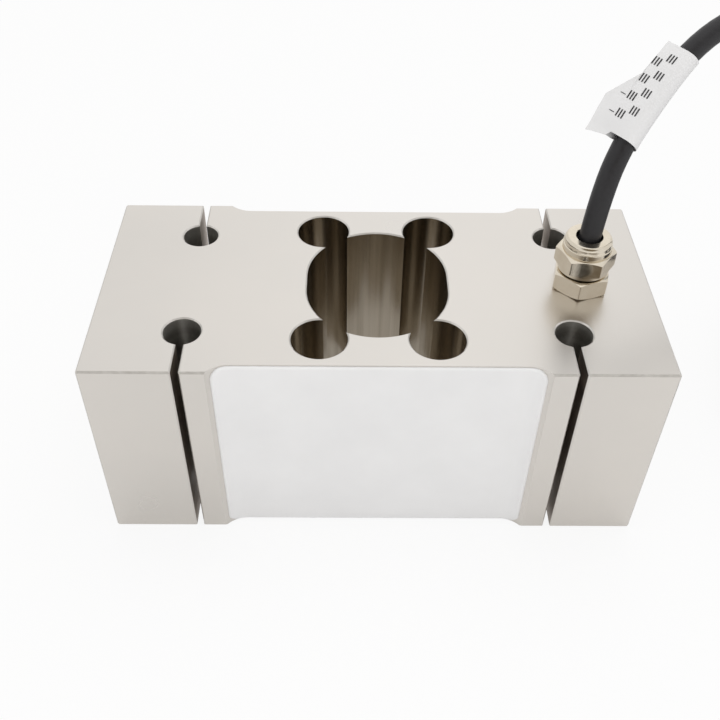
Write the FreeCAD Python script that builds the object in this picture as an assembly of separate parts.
"""Single point load cell: a nickel-plated binocular beam on its side, with its gauges, gland and cable.

Frame: millimetres, +X along the beam, +Z along the bores. The origin is the middle of the face that the beam
lies on, so the bores open upwards and the two gauged faces look along -Y (front) and +Y (rear).
"""
import FreeCAD, Part

import math
import os

from FreeCAD import Rotation, Vector

# ---- spring body ----
body_length = 150.0        # along X
body_depth = 72.0          # along Y, the direction in which the load bends the beam
body_height = 63.0         # along Z, the length of the bores
edge_bevel = 0.5           # on the twelve outer edges
rim_bevel = 0.35           # where bores and slots break the surface
overrun = 1.0              # how far a cutter runs past the face it opens

recess_depth = 3.0         # milled in both gauged faces
recess_inset = 37.9        # from an end face to the end of the recess's flat floor
recess_fillet = 8.0        # sweeps the floor up to the face

thin_section = 2.5         # left between an ear bore and the floor of the recess
ear_radius = 7.4           # the four corner bores that leave the thin sections
ear_spacing_x = 30.5
opening_radius = 19.25     # the two big bores that run into each other
opening_inset = 20.0       # from the ears' axes in to the big bores' axes, along Y

slot_width = 2.0           # sawn slots that free the end blocks from the bending part
slot_inset = 24.3          # from an end face to the middle of a slot
relief_radius = 4.95       # the round end of each slot
relief_inset = 15.4        # from a gauged face in to a relief hole's axis

recess_floor_length = body_length - 2 * recess_inset
ear_spacing_y = body_depth - 2 * (recess_depth + thin_section + ear_radius)
opening_spacing = ear_spacing_y - 2 * opening_inset
slot_spacing = body_length - 2 * slot_inset
relief_spacing = body_depth - 2 * relief_inset

# ---- holes in the spring body ----
bolt_minor_radius = 3.4    # M8, cut to its minor diameter
bolt_depth = 15.0
bolt_inset_y = 11.0        # from the gauged faces in to the holes' axes
bolt_inset_z = {"left": 11.5, "right": 13.5}  # from the flat sides in, the gland's end being the right one
bolt_countersink = 0.8
drill_point_angle = 118.0

gland_inset = 19.5         # from the right end face to the cable port's axis
port_radius = 5.35         # M12 x 1.5
port_depth = 12.0
channel_radius = 2.5       # drilled ways for the wires
channel_inset = 22.5       # from the port's axis to the cross drilling's axis, along X
channel_z = 20.5
gland_x = body_length / 2 - gland_inset
channel_x = gland_x - channel_inset

pocket_length = 14.0       # along X, milled in the front recess for the compensation board
pocket_height = 29.0       # along Z
pocket_depth = 4.0
pocket_corner = 3.0
pocket_below_channel = 4.0  # from the channel's axis down to the pocket's lower wall

# ---- sealing covers ----
cover_thickness = 0.7
cover_margin = 0.4         # left bare at the top and bottom edges of the recess
cover_end_gap = 0.9        # from the cover's end to the mouth of the recess

# ---- strain gauges ----
gauge_length = 11.0        # carrier film, along X
gauge_height = 7.0
film_thickness = 0.08
grid_thickness = 0.05
grid_length = 5.0
grid_lines = 8
grid_pitch = 0.6
grid_line_width = 0.34
tab_length = 1.8
tab_height = 1.6
gauge_clearance = 0.03     # between a gauge and the pocket for it in the cover

# ---- compensation board ----
board_length = 12.0        # along X
board_height = 20.0
board_thickness = 1.0
board_top_gap = 1.0        # to the upper wall of the pocket
resistor_size = (1.6, 0.6, 3.2)
resistor_pitch = 3.0
resistor_count = 3
resistor_drop = 4.5        # from the board's upper edge to the middle of the row
pad_size = (0.8, 0.8, 1.2)
wire_end_height = 1.6      # how far up the board the wires reach

# ---- wires ----
core_radius = 0.5
core_pitch = 1.1
core_clearance = 0.05      # between a core and the board under it
bridge_wire_radius = 0.18
bridge_wire_pitch = 0.9
bridge_wire_offset = 1.9   # below the channel's axis, clear of the cores
bridge_wire_stagger = 0.65  # how much higher an outer wire runs, for each mm from the middle
front_wire_detour = 6.0    # how far the far gauge's wires swing round the near gauge
wire_lead = 1.2            # straight start of a wire
wire_swing = 7.0           # along X, over which a wire swings out or back
wire_swing_stop = 4.0      # from the end of the swing to the edge of the board's pocket
wire_turn_down = 0.45      # past the pocket's edge before a front wire turns down
wire_gather = 6.25         # above the channel's axis, where the rear wires come together
wires_per_side = 4
wire_sides = 6             # a thin wire is drawn as a prism with mitred corners
core_sides = 8

# ---- cable gland, M12 with 14 mm hexagons ----
hex_across_flats = 14.0
hex_chamfer_drop = 0.7     # height of the turned chamfer at a hexagon's corners
gland_hex_height = 5.0
front_angle = -90.0        # the -Y direction, in degrees from +X seen from above
gland_hex_turn = -6.6      # degrees that a corner stands off the -Y direction
thread_clearance = 0.1
gland_stub_length = 9.0
neck_radius = 5.8
neck_top = 11.0            # above the beam
gland_bore_radius = 3.4
claw_seat = 4.2            # floor of the gland's socket above the beam
claw_radius = 4.5
claw_wall = 0.6
claw_height = 8.4
claw_tip_height = 1.2      # the tapered end of a finger
claw_tip_wall = 0.1        # what is left of the wall at its very end
claw_finger_root = 2.8     # height of the closed ring below the fingers
claw_fingers = 8
claw_slot_width = 0.7
claw_clearance = 0.1
seal_height = 8.0
seal_lift = 0.2
seal_lip_height = 2.0      # the narrow end that shows in the nut's mouth
seal_lip_gap = 0.1         # from the lip to the nut's mouth
washer_width = 1.1
washer_height = 1.0
washer_gap = 0.15          # from the thread to the sealing ring
nut_bottom = 6.0           # above the beam
nut_collar_radius = 6.9
nut_collar_height = 1.1
nut_hex_top = 12.0
nut_turn = -4.6            # degrees that a flat stands off the -Y direction
nut_dome_radius = 6.5
nut_dome_height = 1.2      # cylindrical part of the dome
nut_top = 15.0
nut_top_radius = 5.1
nut_thread_top = 11.2
nut_cone_top = 14.0
dome_steps = 3
nut_clearance = 0.1

# ---- cable ----
cable_radius = 2.9
cable_start = 6.0          # above the beam, where the sheath ends inside the gland
bend_share = 0.45          # part of the shorter run that a bend may use
route_rise = [             # from the gland over to the coil, chosen by hand
    (55.5, 0.0, 69.0), (55.5, 0.0, 84.6), (60.7, 7.6, 103.2), (78.7, 23.4, 123.0), (98.8, 32.3, 127.7),
    (118.0, 38.0, 119.5), (130.5, 43.5, 100.5), (136.5, 48.0, 78.0), (140.5, 52.0, 56.0), (149.5, 55.0, 37.0),
    (166.0, 56.0, 25.5),
]
tail_first_run = 13.0      # straight on from the coil
route_tail = [(228.3, 5.3), (228.8, -7.7)]  # on over the surface to the stripped end, seen from above

# ---- coil ----
coil_centre = (168.0, 15.0)
coil_mid_radius = 35.0
coil_columns = 3
coil_layers = 4
coil_tail_angle = 45.0     # where the tail leaves the outermost turn, seen from above
coil_stub_length = 24.0
stub_clearance = 0.1       # keeps the stub's skin off the coil's skin where they run side by side
tie_thickness = 0.8
tie_width = 4.6
tie_angles = (55.0, 180.0, 300.0)
tie_head = (5.0, 6.5, 4.0)  # along the turns, upwards, outwards

# ---- label ----
label_radius = 3.8         # inside its loop
label_thickness = 0.2
label_length = 26.0
label_start = -0.5         # along its run of the cable
label_lean = 0.4           # towards the inside of the bend below it, to stay round the cable
label_seam = 5.75          # from the label's axis to where both sides of the flag meet
label_flag_to = Vector(-0.77, 0.46, 0.34)
flag_foot = (9.2, -2.65)   # the flag's lower outer corner: out from the axis, and along it
flag_shoulder = (10.4, 7.7)  # where its outer edge starts to slope back to the cable
flag_root = (-1.5, 16.2)   # where the flag's two ends meet the seam, along the axis

# ---- stripped end ----
sleeve_length = 14.0
sleeve_wall = 0.5
sleeve_rim = 0.9           # chamfer round its closed end
core_colours = ("red", "black", "green", "white")
core_reach = 24.0
core_spread = 3.6          # between the tips
ferrule_length = 6.0
ferrule_radius = 0.4
core_mouth_pitch = 1.2     # between the cores where they come out of the sleeve
core_straight = 4.0        # straight on from the sleeve
core_floor_at = 10.0       # from the sleeve to where a core comes down to the floor
core_fan_share = 0.35      # part of its sideways spread that it has there
floor_gap = 0.05
shield_reach = 18.0
shield_radius = 0.8
shield_lift = 1.5          # above the cores at the sleeve
shield_floor_at = 9.0
shield_sideways = (5.0, 10.0)  # there and at its tip


def up(height=1.0):
    return Vector(0, 0, height)


def box(size, low):
    return Part.makeBox(*size, Vector(*low))


def cylinder(radius, height, base, axis=Vector(0, 0, 1)):
    return Part.makeCylinder(radius, height, Vector(*base), axis)


def prism(points, direction):
    """A flat outline pushed along a direction."""
    return Part.Face(Part.makePolygon([*points, points[0]])).extrude(direction)


def turned(profile, axis_point=Vector(0, 0, 0)):
    """A solid of revolution about a vertical axis, from (radius, height) points."""
    points = [Vector(radius, 0, height) for radius, height in profile]
    solid = Part.Face(Part.makePolygon([*points, points[0]])).revolve(Vector(0, 0, 0), up(), 360)
    solid.translate(axis_point)
    return solid


def hexagon(across_flats, height, base, corner_at):
    """A hexagonal prism with one corner in the direction corner_at, in degrees."""
    radius = across_flats / math.sqrt(3)
    corners = [
        Vector(*base) + Rotation(up(), corner_at + 60 * k).multVec(Vector(radius, 0, 0)) for k in range(6)
    ]
    return prism(corners, up(height))


def joined(shapes):
    """Shapes that overlap, as one clean solid."""
    return shapes[0].multiFuse(shapes[1:]).removeSplitter() if len(shapes) > 1 else shapes[0]


def path(points, radii_of):
    """Straight runs joined by tangent arcs, each as large as its two runs allow."""
    points = [Vector(*p) for p in points]
    edges, start = [], points[0]
    for before, corner, after in zip(points, points[1:], points[2:]):
        inward, outward = corner - before, after - corner
        half_turn = inward.getAngle(outward) / 2
        trim = bend_share * min(inward.Length, outward.Length)
        inward.normalize()
        outward.normalize()
        arc_from, arc_to = corner - inward * trim, corner + outward * trim
        radius = trim / math.tan(half_turn)
        middle = corner + (outward - inward).normalize() * (radius / math.cos(half_turn) - radius)
        edges += [Part.LineSegment(start, arc_from).toShape(), Part.Arc(arc_from, middle, arc_to).toShape()]
        start = arc_to
        print(f"{radii_of}: bend of {math.degrees(2 * half_turn):.0f} degrees, radius {radius:.1f} mm")
    edges.append(Part.LineSegment(start, points[-1]).toShape())
    return Part.Wire(edges)


def tube(points, radius, radii_of):
    """A round cable along a path."""
    line = path(points, radii_of)
    start, along = Vector(*points[0]), Vector(*points[1]) - Vector(*points[0])
    ring = Part.Wire(Part.makeCircle(radius, start, along))
    solid = line.makePipeShell([ring], True, False)
    ratio = solid.Volume / (math.pi * radius**2 * line.Length)
    print(f"{radii_of}: {line.Length:.1f} mm long, volume is {ratio:.4f} of section times length")
    return solid


def strand(points, radius, sides):
    """A thin wire along straight runs with mitred corners, its section a regular polygon."""
    points = [Vector(*p) for p in points]
    ways = [(b - a).normalize() for a, b in zip(points, points[1:])]
    turn = Rotation(up(), ways[0])
    angles = [2 * math.pi * k / sides for k in range(sides)]
    ring = [Vector(radius * math.cos(a), radius * math.sin(a), 0) for a in angles]
    rings = [[points[0] + turn.multVec(p) for p in ring]]
    for corner, inward, outward in zip(points[1:], ways, [*ways[1:], ways[-1]]):
        mitre = inward + outward
        rings.append([p + inward * ((corner - p).dot(mitre) / inward.dot(mitre)) for p in rings[-1]])
    outlines = [rings[0], rings[-1]]
    for near, far in zip(rings, rings[1:]):
        outlines += [[near[k - 1], near[k], far[k], far[k - 1]] for k in range(sides)]
    faces = [Part.Face(Part.makePolygon([*outline, outline[0]])) for outline in outlines]
    return Part.Solid(Part.Shell(faces))


def beside(points, offset):
    """The same route moved sideways by an offset that is carried round each corner."""
    points, offset = [Vector(*p) for p in points], Vector(*offset)
    ways = [(b - a).normalize() for a, b in zip(points, points[1:])]
    moved = [points[0] + offset]
    for corner, inward, outward in zip(points[1:], ways, ways[1:]):
        after = Rotation(inward, outward).multVec(offset)
        cosine = inward.dot(outward)
        slide = (after.dot(inward) + cosine * offset.dot(outward)) / (1 - cosine**2)
        moved.append(corner + offset + inward * slide)
        offset = after
    return [*moved, points[-1] + offset]


def row(count, pitch):
    """Places in a row, evenly spaced about its middle."""
    return [(k - (count - 1) / 2) * pitch for k in range(count)]


def edges_along_y(solid):
    return [e for e in solid.Edges if abs(e.tangentAt(e.FirstParameter).y) > 0.99]


# ---- spring body
def through_bore(x, y, radius):
    """A cutter for a bore right through the beam, with both rims bevelled."""
    flare = rim_bevel + overrun
    top = (radius + flare, body_height + overrun)
    bottom = (radius + flare, -overrun)
    waist = [(radius, body_height - rim_bevel), (radius, rim_bevel)]
    return turned([(0, bottom[1]), bottom, waist[1], waist[0], top, (0, top[1])], Vector(x, y, 0))


def through_slot(x_low, x_high, y_low, y_high):
    """A straight cutter right through the beam, with its long rims bevelled."""
    flare, top = rim_bevel + overrun, body_height + overrun
    outline = [
        Vector(x_low - flare, y_low, -overrun), Vector(x_low, y_low, rim_bevel),
        Vector(x_low, y_low, body_height - rim_bevel), Vector(x_low - flare, y_low, top),
        Vector(x_high + flare, y_low, top), Vector(x_high, y_low, body_height - rim_bevel),
        Vector(x_high, y_low, rim_bevel), Vector(x_high + flare, y_low, -overrun),
    ]
    return prism(outline, Vector(0, y_high - y_low, 0))


def central_opening():
    """Two big bores that run together and four ears at their corners."""
    half = opening_spacing / 2
    ears = [
        through_bore(sx * ear_spacing_x / 2, sy * ear_spacing_y / 2, ear_radius)
        for sx in (-1, 1) for sy in (-1, 1)
    ]
    bores = [through_bore(0, sy * half, opening_radius) for sy in (-1, 1)]
    return joined([through_slot(-opening_radius, opening_radius, -half, half), *bores, *ears])


def stress_slot(side_x, side_y):
    """A saw cut from a gauged face in to its relief hole."""
    x, y = side_x * slot_spacing / 2, side_y * relief_spacing / 2
    y_out = side_y * (body_depth / 2 + overrun)
    cut = through_slot(x - slot_width / 2, x + slot_width / 2, min(y, y_out), max(y, y_out))
    face = side_y * body_depth / 2
    flare = rim_bevel + overrun
    mouth = prism(
        [
            Vector(x - slot_width / 2, face - side_y * rim_bevel, -overrun),
            Vector(x + slot_width / 2, face - side_y * rim_bevel, -overrun),
            Vector(x + slot_width / 2 + flare, face + side_y * overrun, -overrun),
            Vector(x - slot_width / 2 - flare, face + side_y * overrun, -overrun),
        ],
        up(body_height + 2 * overrun),
    )
    return joined([cut, mouth, through_bore(x, y, relief_radius)])


def recess_line(depth, fillet):
    """Half length of the flat floor and of the mouth of a recess whose ends sweep up in arcs."""
    floor = recess_floor_length / 2
    return floor, floor + math.sqrt(fillet**2 - (fillet - depth) ** 2)


def recess_outline(side_y, depth, fillet, out):
    """The recess in plan: flat floor, an arc at each end and straight sides out past the face."""
    floor, mouth = recess_line(depth, fillet)
    face_y, floor_y = side_y * body_depth / 2, side_y * (body_depth / 2 - recess_depth)
    lip_y, out_y = floor_y + side_y * depth, face_y + side_y * out
    turn = math.acos((fillet - depth) / fillet) / 2
    arc_x, arc_y = floor + fillet * math.sin(turn), floor_y + side_y * fillet * (1 - math.cos(turn))
    corners = {name: Vector(x, y, 0) for name, x, y in (
        ("a", -mouth, out_y), ("b", -mouth, lip_y), ("c", -arc_x, arc_y), ("d", -floor, floor_y),
        ("e", floor, floor_y), ("f", arc_x, arc_y), ("g", mouth, lip_y), ("h", mouth, out_y),
    )}
    edges = [
        Part.LineSegment(corners["a"], corners["b"]).toShape(),
        Part.Arc(corners["b"], corners["c"], corners["d"]).toShape(),
        Part.LineSegment(corners["d"], corners["e"]).toShape(),
        Part.Arc(corners["e"], corners["f"], corners["g"]).toShape(),
        Part.LineSegment(corners["g"], corners["h"]).toShape(),
        Part.LineSegment(corners["h"], corners["a"]).toShape(),
    ]
    return Part.Face(Part.Wire(edges))


def gauge_recess(side_y):
    cutter = recess_outline(side_y, recess_depth, recess_fillet, overrun)
    cutter.translate(up(-overrun))
    return cutter.extrude(up(body_height + 2 * overrun))


def bolt_hole(side_x, y, z):
    """A blind drilled hole in an end face, with its drill point and a countersunk mouth."""
    point = bolt_minor_radius / math.tan(math.radians(drill_point_angle / 2))
    profile = [
        (0, -overrun), (bolt_minor_radius + bolt_countersink + overrun, -overrun),
        (bolt_minor_radius, bolt_countersink), (bolt_minor_radius, bolt_depth), (0, bolt_depth + point),
    ]
    hole = turned(profile)
    hole.rotate(Vector(0, 0, 0), Vector(0, 1, 0), -90 * side_x)
    hole.translate(Vector(side_x * body_length / 2, y, z))
    return hole


def port_floor():
    return body_height - port_depth


def pocket_low():
    return channel_z - pocket_below_channel


def recess_floor_y():
    return body_depth / 2 - recess_depth


def pocket_floor_y():
    return -recess_floor_y() + pocket_depth


def board_pocket(depth, shrink=0.0):
    """The milled pocket for the board, as a block with round corners, up to the floor of the front recess."""
    size = (pocket_length - 2 * shrink, depth, pocket_height - 2 * shrink)
    low = (channel_x - size[0] / 2, -recess_floor_y(), pocket_low() + shrink)
    block = box(size, low)
    return block.makeFillet(pocket_corner, edges_along_y(block))


def wire_ways():
    """The cable port, the slanted drilling under it and the cross drilling between the two recesses."""
    port = turned([
        (0, port_floor()), (port_radius, port_floor()), (port_radius, body_height - bolt_countersink),
        (port_radius + bolt_countersink + overrun, body_height + overrun), (0, body_height + overrun),
    ], Vector(gland_x, 0, 0))
    bottom, meeting = Vector(gland_x, 0, port_floor() + channel_radius), Vector(channel_x, 0, channel_z)
    slant = meeting - bottom
    slanted = cylinder(channel_radius, slant.Length, bottom, slant)
    cross_from = pocket_floor_y() - overrun
    cross_length = recess_floor_y() + overrun - cross_from
    cross = cylinder(channel_radius, cross_length, (channel_x, cross_from, channel_z), Vector(0, 1, 0))
    return joined([port, slanted, cross])


def beam_body():
    blank = box((body_length, body_depth, body_height), (-body_length / 2, -body_depth / 2, 0))
    blank = blank.makeChamfer(edge_bevel, blank.Edges)
    cutters = [central_opening(), wire_ways(), board_pocket(pocket_depth)]
    for side_y in (-1, 1):
        cutters.append(gauge_recess(side_y))
        cutters += [stress_slot(side_x, side_y) for side_x in (-1, 1)]
    for side_x, side in ((-1, "left"), (1, "right")):
        columns = row(2, body_depth - 2 * bolt_inset_y)
        levels = row(2, body_height - 2 * bolt_inset_z[side])
        cutters += [bolt_hole(side_x, y, body_height / 2 + z) for y in columns for z in levels]
    for cutter in cutters:
        blank = blank.cut(cutter)
    return blank.removeSplitter()


# ---- gauges, board and bridge wires
def gauge_middle(side_x, side_y):
    return Vector(side_x * ear_spacing_x / 2, side_y * recess_floor_y(), body_height / 2)


def strain_gauge(side_x, side_y):
    """A foil gauge: a carrier film with a folded grid and two solder tabs on it."""
    middle = gauge_middle(side_x, side_y)
    layers = [box((gauge_length, film_thickness, gauge_height), (-gauge_length / 2, 0, -gauge_height / 2))]
    lines = row(grid_lines, grid_pitch)
    bar = (grid_length, grid_thickness, grid_line_width)
    layers += [box(bar, (-grid_length / 2, film_thickness, z - grid_line_width / 2)) for z in lines]
    for k, (low, high) in enumerate(zip(lines, lines[1:])):
        end = grid_length / 2 if k % 2 else -grid_length / 2 - grid_line_width
        layers.append(box(
            (grid_line_width, grid_thickness, high - low + grid_line_width),
            (end, film_thickness, low - grid_line_width / 2),
        ))
    tab = (tab_length, grid_thickness, tab_height)
    for z in (lines[0], lines[-1]):
        layers.append(box(tab, (grid_length / 2, film_thickness, z - tab_height / 2)))
    gauge = joined(layers)
    if side_y < 0:
        gauge.rotate(Vector(0, 0, 0), Vector(1, 0, 0), 180)
    gauge.translate(middle)
    return gauge


def tab_place(side_x, side_y, level):
    """Where a wire starts on a gauge's tab: level is -1 for the lower tab and 1 for the upper."""
    middle = gauge_middle(side_x, side_y)
    x = middle.x + grid_length / 2 + tab_length
    y = middle.y + side_y * (film_thickness + bridge_wire_radius)
    return Vector(x, y, middle.z + level * row(grid_lines, grid_pitch)[-1])


def board_low():
    return pocket_low() + pocket_height - board_top_gap - board_height


def board_face():
    return pocket_floor_y() - board_thickness


def compensation_board():
    return box(
        (board_length, board_thickness, board_height),
        (channel_x - board_length / 2, board_face(), board_low()),
    )


def trim_resistors():
    width, thickness, height = resistor_size
    middle = board_low() + board_height - resistor_drop
    return Part.Compound([
        box(resistor_size, (channel_x + x - width / 2, board_face() - thickness, middle - height / 2))
        for x in row(resistor_count, resistor_pitch)
    ])


def front_pads():
    """Ends of the four front wires on the board, lowest first."""
    x = channel_x - board_length / 2 + wire_end_height
    return [Vector(x, board_face() - bridge_wire_radius, board_low() + board_height / 2 + z)
            for z in row(wires_per_side, 2 * bridge_wire_pitch)]


def front_bridge_wires():
    """Two wires from each front gauge, over the recess floor and down onto the board."""
    pads = front_pads()
    level_y = gauge_middle(1, -1).y - film_thickness - bridge_wire_radius
    edge = channel_x - pocket_length / 2
    lead = Vector(wire_lead, 0, 0)
    wires = []
    for side_x, level, pad in ((-1, -1, pads[0]), (1, -1, pads[1]), (1, 1, pads[2]), (-1, 1, pads[3])):
        start = tab_place(side_x, -1, level)
        way = [start, start + lead]
        if side_x < 0:
            swing = body_height / 2 + level * front_wire_detour
            way.append(Vector(start.x + wire_swing, level_y, swing))
            way.append(Vector(edge - wire_swing_stop, level_y, swing))
        way += [
            Vector(edge - wire_lead, level_y, pad.z), Vector(edge + wire_turn_down, level_y, pad.z),
            Vector(edge + wire_lead, pad.y, pad.z), pad,
        ]
        wires.append(strand(way, bridge_wire_radius, wire_sides))
    return wires


def rear_pads():
    """Ends of the four rear wires on the board, two each side of the cable's cores."""
    reach = core_pitch * len(core_colours) / 2 + bridge_wire_pitch
    top = board_low() + wire_end_height
    return [Vector(channel_x + x, board_face() - bridge_wire_radius, top)
            for x in (-reach, -reach - bridge_wire_pitch, reach + bridge_wire_pitch, reach)]


def rear_bridge_wires():
    """Two wires from each rear gauge, through the cross drilling to the board at the front."""
    level_y = gauge_middle(1, 1).y + film_thickness + bridge_wire_radius
    exit_y = pocket_floor_y() - board_thickness / 2
    lead = Vector(wire_lead, 0, 0)
    wires = []
    starts = [(-1, -1), (1, -1), (1, 1), (-1, 1)]
    for (side_x, level), lane, pad in zip(starts, row(wires_per_side, bridge_wire_pitch), rear_pads()):
        x, z = channel_x + lane, channel_z - bridge_wire_offset + abs(lane) * bridge_wire_stagger
        start = tab_place(side_x, 1, level)
        way = [start, start + lead]
        if side_x < 0:
            swing = body_height / 2 + level * front_wire_detour
            way += [Vector(start.x + wire_swing, level_y, swing), Vector(x - wire_swing, level_y, swing)]
        way += [
            Vector(x, level_y, channel_z + wire_gather + lane), Vector(x, level_y, z),
            Vector(x, exit_y, z), Vector(pad.x, exit_y, z + wire_lead / 2),
            Vector(pad.x, pad.y, board_low() - 2 * bridge_wire_radius), pad,
        ]
        wires.append(strand(way, bridge_wire_radius, wire_sides))
    return wires


def core_route():
    """The middle line of the cable's cores inside the beam."""
    lie = board_face() - core_clearance - core_radius
    return [
        (gland_x, 0, body_height + cable_start), (gland_x, 0, port_floor() + channel_radius),
        (channel_x, 0, channel_z), (channel_x, lie, channel_z),
        (channel_x, lie, board_low() + wire_end_height),
    ]


def inner_cores():
    """The cable's four cores, side by side from the end of the sheath to the board."""
    route = [Vector(*p) for p in core_route()]
    across = Rotation(route[2] - route[1], route[3] - route[2]).inverted().multVec(Vector(1, 0, 0))
    across = Rotation(route[1] - route[0], route[2] - route[1]).inverted().multVec(across)
    lanes = row(len(core_colours), core_pitch)
    return [strand(beside(route, across * x), core_radius, core_sides) for x in lanes]


def solder_pads():
    """A bead of solder at the end of each wire on the board."""
    width, thickness, height = pad_size
    beads = []
    for x in row(len(core_colours), core_pitch):
        beads.append(Vector(channel_x + x, 0, board_low() + wire_end_height + height / 2))
    beads += [pad + up(height / 2) for pad in rear_pads()]
    beads += [pad + Vector(width / 2, 0, 0) for pad in front_pads()]
    return Part.Compound([
        box(pad_size, (p.x - width / 2, board_face() - thickness, p.z - height / 2)) for p in beads
    ])


def sealed(blank, inner):
    """A cast blank with the pieces that it was cast round taken out of it."""
    for piece in inner:
        blank = blank.cut(piece)
    return blank


def board_potting(inner):
    """Silicone that fills the board's pocket up to the floor of the recess."""
    return sealed(board_pocket(pocket_depth), inner)


def gauge_cover(side_y, inner):
    """The white sealing layer that follows the recess floor and runs up its end fillets."""
    skin = recess_outline(side_y, recess_depth, recess_fillet, overrun)
    outer = recess_outline(side_y, recess_depth, recess_fillet - cover_thickness, overrun)
    outer.translate(Vector(0, side_y * cover_thickness, 0))
    skin = skin.cut(outer)
    skin.translate(up(cover_margin))
    layer = skin.extrude(up(body_height - 2 * cover_margin))
    reach = recess_line(recess_depth, recess_fillet)[1] - cover_end_gap
    keep = box(
        (2 * reach, body_depth, body_height),
        (-reach, min(0, side_y * body_depth), 0),
    )
    return sealed(layer.common(keep), inner)


def gauge_room(side_x, side_y):
    """The hollow that a gauge leaves in the cover cast over it."""
    thickness = film_thickness + grid_thickness + gauge_clearance
    middle = gauge_middle(side_x, side_y)
    low_y = middle.y - thickness if side_y < 0 else middle.y
    low = (middle.x - gauge_length / 2, low_y, middle.z - gauge_height / 2)
    return box((gauge_length, thickness, gauge_height), low)


# ---- cable gland
def above(height):
    """A height above the face that the gland screws into."""
    return body_height + height


def hex_envelope(low, high, radius):
    """The turned shape that rounds off a hexagon's corners at both ends."""
    return [(radius, low), (radius + 2 * hex_chamfer_drop, low + hex_chamfer_drop),
            (radius + 2 * hex_chamfer_drop, high - hex_chamfer_drop), (radius, high)]


def gland_body():
    """Hexagon with a threaded stub below it and a threaded socket above it."""
    flat = hex_across_flats / 2
    stub = port_radius - thread_clearance
    inner_washer = stub + washer_gap
    outline = [
        (gland_bore_radius, above(-gland_stub_length)), (stub, above(-gland_stub_length)),
        (stub, above(washer_height)),
        (inner_washer, above(washer_height)), (inner_washer + washer_width, above(washer_height)),
        (inner_washer + washer_width, above(0)), *hex_envelope(above(0), above(gland_hex_height), flat),
        (neck_radius, above(gland_hex_height)), (neck_radius, above(neck_top)),
        (claw_radius + claw_clearance, above(neck_top)), (claw_radius + claw_clearance, above(claw_seat)),
        (gland_bore_radius, above(claw_seat)),
    ]
    body = turned(outline, Vector(gland_x, 0, 0))
    blank = hexagon(
        hex_across_flats, gland_stub_length + neck_top, (gland_x, 0, above(-gland_stub_length)),
        front_angle + gland_hex_turn,
    )
    return body.common(blank)


def sealing_ring():
    """The rubber ring under the gland's hexagon."""
    inner = port_radius - thread_clearance + washer_gap
    outer = inner + washer_width
    low, high = above(0), above(washer_height)
    return turned([(inner, low), (outer, low), (outer, high), (inner, high)], Vector(gland_x, 0, 0))


def claw_inner():
    return claw_radius - claw_wall


def gland_claw():
    """A plastic clamping ring whose fingers the nut bends inwards."""
    low, top = above(claw_seat), above(claw_seat + claw_height)
    ring = turned([
        (claw_inner(), low), (claw_radius, low), (claw_radius, top - claw_tip_height),
        (claw_inner() + claw_tip_wall, top), (claw_inner(), top),
    ], Vector(gland_x, 0, 0))
    for k in range(claw_fingers // 2):
        blade = (4 * claw_radius, claw_slot_width, claw_height)
        saw = box(blade, (-2 * claw_radius, -claw_slot_width / 2, 0))
        saw.rotate(Vector(0, 0, 0), up(), 360 / claw_fingers * (k + 0.5))
        saw.translate(Vector(gland_x, 0, low + claw_finger_root))
        ring = ring.cut(saw)
    return ring


def gland_seal():
    """The rubber sleeve that grips the cable's sheath."""
    low = above(claw_seat + seal_lift)
    shoulder, top = low + seal_height, low + seal_height + seal_lip_height
    lip = gland_bore_radius - seal_lip_gap
    return turned([
        (cable_radius, low), (claw_inner(), low), (claw_inner(), shoulder), (lip, shoulder), (lip, top),
        (cable_radius, top),
    ], Vector(gland_x, 0, 0))


def gland_nut():
    """The cap nut: a collar, a hexagon and a domed top that closes in on the cable."""
    flat = hex_across_flats / 2
    thread = neck_radius + nut_clearance
    shoulder = claw_radius + 2 * nut_clearance
    collar_top, dome_low = above(nut_bottom + nut_collar_height), above(nut_hex_top)
    dome_top = above(nut_top)
    lip = gland_bore_radius
    outline = [
        (thread, above(nut_bottom)), (nut_collar_radius, above(nut_bottom)), (nut_collar_radius, collar_top),
        *hex_envelope(collar_top, dome_low, flat), (nut_dome_radius, dome_low),
        (nut_dome_radius, dome_low + nut_dome_height),
    ]
    rise, run = dome_top - dome_low - nut_dome_height, nut_dome_radius - nut_top_radius
    for k in range(1, dome_steps + 1):
        angle = math.pi / 2 * k / dome_steps
        outline.append((
            nut_top_radius + run * math.cos(angle), dome_low + nut_dome_height + rise * math.sin(angle),
        ))
    outline += [
        (lip + rim_bevel, dome_top), (lip, dome_top - rim_bevel), (lip, above(nut_cone_top)),
        (shoulder, above(claw_seat + claw_height) - claw_tip_height + nut_clearance),
        (shoulder, above(nut_thread_top)), (thread, above(nut_thread_top)),
    ]
    nut = turned(outline, Vector(gland_x, 0, 0))
    corner_at = front_angle + nut_turn + 360 / 12
    blank = hexagon(hex_across_flats, nut_top - nut_bottom, (gland_x, 0, above(nut_bottom)), corner_at)
    return nut.common(blank)


# ---- cable, coil, label and stripped end
def coil_low():
    return tie_thickness


def coil_layer_height(layer):
    return coil_low() + cable_radius * (1 + 2 * layer)


def coil_outer_radius():
    return coil_mid_radius + coil_columns * cable_radius


def tail_ray():
    """Where the tail leaves the outermost turn of the lowest layer, and its direction."""
    angle = math.radians(coil_tail_angle)
    reach = coil_outer_radius() - cable_radius - stub_clearance
    place = Vector(
        coil_centre[0] + reach * math.cos(angle), coil_centre[1] + reach * math.sin(angle),
        coil_layer_height(0) + stub_clearance,
    )
    return place, Vector(math.sin(angle), -math.cos(angle), 0)


def tail_route():
    """The tail's route, from the end of the coil's stub to the stripped end, level all the way."""
    place, way = tail_ray()
    start = place + way * coil_stub_length
    return [start, start + way * tail_first_run, *(Vector(x, y, start.z) for x, y in route_tail)]


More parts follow.
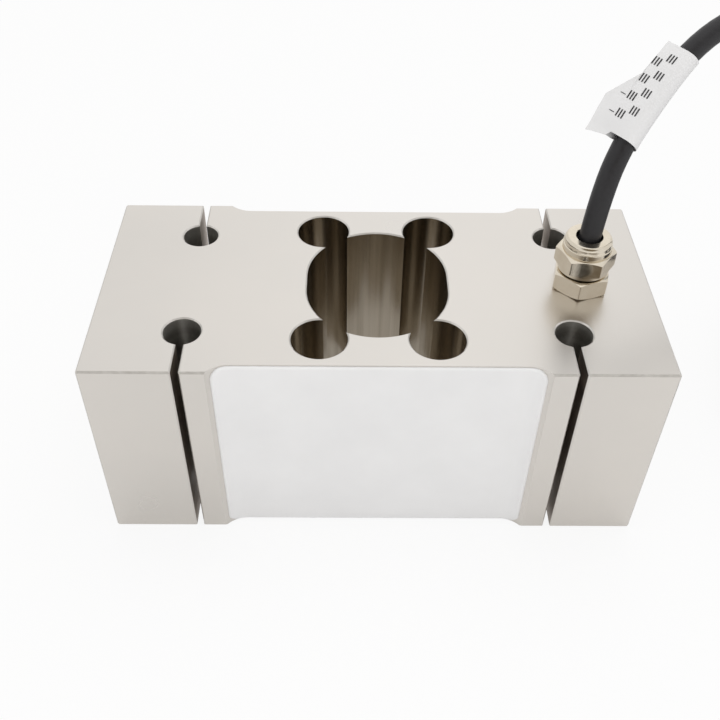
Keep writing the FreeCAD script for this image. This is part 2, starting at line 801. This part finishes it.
def corner_bevel(radius):
    """The chamfer that just clears a round corner of this radius."""
    return radius * (2 - math.sqrt(2))


def cable_coil():
    """The outer shape of the wound cable, with the start of its tail."""
    inner, outer = coil_mid_radius - coil_columns * cable_radius, coil_outer_radius()
    low, high = coil_low(), coil_low() + 2 * cable_radius * coil_layers
    ring = turned([(inner, low), (outer, low), (outer, high), (inner, high)], Vector(*coil_centre, 0))
    ring = ring.makeChamfer(corner_bevel(cable_radius), ring.Edges)
    place, way = tail_ray()
    return ring.fuse(cylinder(cable_radius, coil_stub_length, place, way)).removeSplitter()


def coil_tie(angle):
    """A strap round the bundle, with the buckle on the outside."""
    inner, outer = coil_mid_radius - coil_columns * cable_radius, coil_outer_radius()
    low, high = coil_low(), coil_low() + 2 * cable_radius * coil_layers
    outside = box(
        (outer - inner + 2 * tie_thickness, tie_width, high - low + 2 * tie_thickness),
        (inner - tie_thickness, -tie_width / 2, low - tie_thickness),
    )
    inside = box((outer - inner, 3 * tie_width, high - low), (inner, -1.5 * tie_width, low))
    outside = outside.makeChamfer(corner_bevel(cable_radius + tie_thickness), edges_along_y(outside))
    strap = outside.cut(inside.makeChamfer(corner_bevel(cable_radius), edges_along_y(inside)))
    head_x, head_z = outer + tie_thickness / 2, (low + high) / 2 - tie_head[1] / 2
    head = box((tie_head[2], tie_head[0], tie_head[1]), (head_x, -tie_head[0] / 2, head_z))
    strap = strap.fuse(head).removeSplitter()
    strap.rotate(Vector(0, 0, 0), up(), angle)
    strap.translate(Vector(*coil_centre, 0))
    return strap


def label_frame():
    """The middle of the label's lower end, the direction of its axis and that of its flag."""
    before, low, high = (Vector(*p) for p in route_rise[1:4])
    inward, along = (low - before).normalize(), (high - low).normalize()
    flag = (label_flag_to - along * label_flag_to.dot(along)).normalize()
    inside = along * along.dot(inward) - inward
    return low + along * label_start + inside.normalize() * label_lean, along, flag


def label_loop(radius):
    """A drop-shaped outline: a loop round the cable whose two sides run out and meet in the flag."""
    start, along, flag = label_frame()
    side = along.cross(flag)
    reach = label_seam + (radius - label_radius)
    touch = math.acos(radius / reach)

    def at(angle):
        return start + flag * (radius * math.cos(angle)) + side * (radius * math.sin(angle))

    tip = start + flag * reach
    return Part.Face(Part.Wire([
        Part.LineSegment(tip, at(touch)).toShape(), Part.Arc(at(touch), at(math.pi), at(-touch)).toShape(),
        Part.LineSegment(at(-touch), tip).toShape(),
    ]))


def cable_label():
    """A wrap-round label with a skew flag, its upper outer corner cut off at a slant."""
    start, along, flag = label_frame()
    side = along.cross(flag)
    root = label_seam - label_thickness
    outline = [(root, flag_root[0]), flag_foot, flag_shoulder, (root, flag_root[1])]
    strip = prism(
        [start + flag * out + along * high - side * label_thickness for out, high in outline],
        side * (2 * label_thickness),
    )
    loop = label_loop(label_radius + label_thickness).extrude(along * label_length)
    hollow = label_loop(label_radius)
    hollow.translate(along * -overrun)
    return joined([loop, strip]).cut(hollow.extrude(along * (label_length + 2 * overrun)))


def tail_end():
    """The end of the sheath and its direction."""
    *_, before, last = tail_route()
    return last, (last - before).normalize()


def end_sleeve():
    """A shrunk sleeve over the end of the sheath, closed round the cores."""
    end, way = tail_end()
    half = sleeve_length / 2
    sleeve = cylinder(cable_radius + sleeve_wall, sleeve_length, end - way * half, way)
    sleeve = sleeve.cut(cylinder(cable_radius, half, end - way * half, way))
    rim = [e for e in sleeve.Edges if e.BoundBox.Center.sub(end + way * half).Length < sleeve_wall]
    return sleeve.makeChamfer(sleeve_rim, rim)


def core_routes():
    """Routes of the four stripped cores, fanned out on the floor in front of the sleeve."""
    end, way = tail_end()
    across = way.cross(up())
    mouth = end + way * (sleeve_length / 2)
    routes = []
    for x, spread in zip(row(len(core_colours), core_mouth_pitch), row(len(core_colours), core_spread)):
        first = mouth + across * x
        down, aside = up(core_radius + floor_gap - mouth.z), across * (spread - x)
        routes.append([
            first, first + way * core_straight, first + way * core_floor_at + aside * core_fan_share + down,
            first + way * core_reach + aside + down,
        ])
    return routes


def stripped_core(index):
    return strand(core_routes()[index], core_radius, core_sides)


def ferrules():
    """A crimped ferrule on the tip of each core."""
    tips = []
    for points in core_routes():
        way = (points[-1] - points[-2]).normalize()
        tips.append(cylinder(ferrule_radius, ferrule_length, points[-1], way))
    return Part.Compound(tips)


def shield_tail():
    """The cable's braided shield, twisted into a tail above the cores."""
    end, way = tail_end()
    across = way.cross(up())
    mouth = end + way * (sleeve_length / 2) + up(shield_lift)
    near, far = shield_sideways
    return strand([
        mouth, mouth + way * core_straight, mouth + way * shield_floor_at + across * near - up(shield_lift),
        mouth + way * shield_reach + across * far - up(mouth.z - shield_radius - floor_gap),
    ], shield_radius, core_sides)


# ---- export
def make_part():
    front_wires, rear_wires, cores = front_bridge_wires(), rear_bridge_wires(), inner_cores()
    board, resistors, pads = compensation_board(), trim_resistors(), solder_pads()
    side_names = {-1: "left", 1: "right"}
    rooms = {y: [gauge_room(x, y) for x in (-1, 1)] for y in (-1, 1)}
    coil = cable_coil()
    nodes = {
        "beam_body": beam_body(),
        "front_gauge_cover": gauge_cover(-1, [*rooms[-1], *front_wires]),
        "rear_gauge_cover": gauge_cover(1, [*rooms[1], *rear_wires]),
        "front_bridge_wires": Part.Compound(front_wires),
        "rear_bridge_wires": Part.Compound(rear_wires),
        "inner_cores": Part.Compound(cores),
        "compensation_board": board,
        "trim_resistors": resistors,
        "solder_pads": pads,
        "board_potting": board_potting([board, resistors, pads, *front_wires, *rear_wires, *cores]),
        "gland_body": gland_body(),
        "gland_sealing_ring": sealing_ring(),
        "gland_claw": gland_claw(),
        "gland_seal": gland_seal(),
        "gland_nut": gland_nut(),
        "signal_cable": tube(route_rise, cable_radius, radii_of="signal_cable").cut(coil),
        "cable_coil": coil,
        "coil_ties": Part.Compound([coil_tie(angle).cut(coil) for angle in tie_angles]),
        "signal_cable_tail": tube(tail_route(), cable_radius, radii_of="signal_cable_tail"),
        "cable_label": cable_label(),
        "cable_end_sleeve": end_sleeve(),
        "core_ferrules": ferrules(),
        "shield_tail": shield_tail(),
    }
    for side_y, face in ((-1, "front"), (1, "rear")):
        for side_x, side in side_names.items():
            nodes[f"strain_gauge_{face}_{side}"] = strain_gauge(side_x, side_y)
    for k, colour in enumerate(core_colours):
        nodes[f"core_{colour}"] = stripped_core(k)
    return nodes


os.makedirs("parts", exist_ok=True)
for name, shape in make_part().items():
    solids = shape.Solids
    if not solids or not shape.isValid():
        raise ValueError(f"{name} is not a valid solid")
    (solids[0] if len(solids) == 1 else Part.Compound(solids)).exportStep(f"parts/{name}.step")
    print(f"{name}: {len(solids)} solid(s), {shape.Volume:.1f} cubic mm")
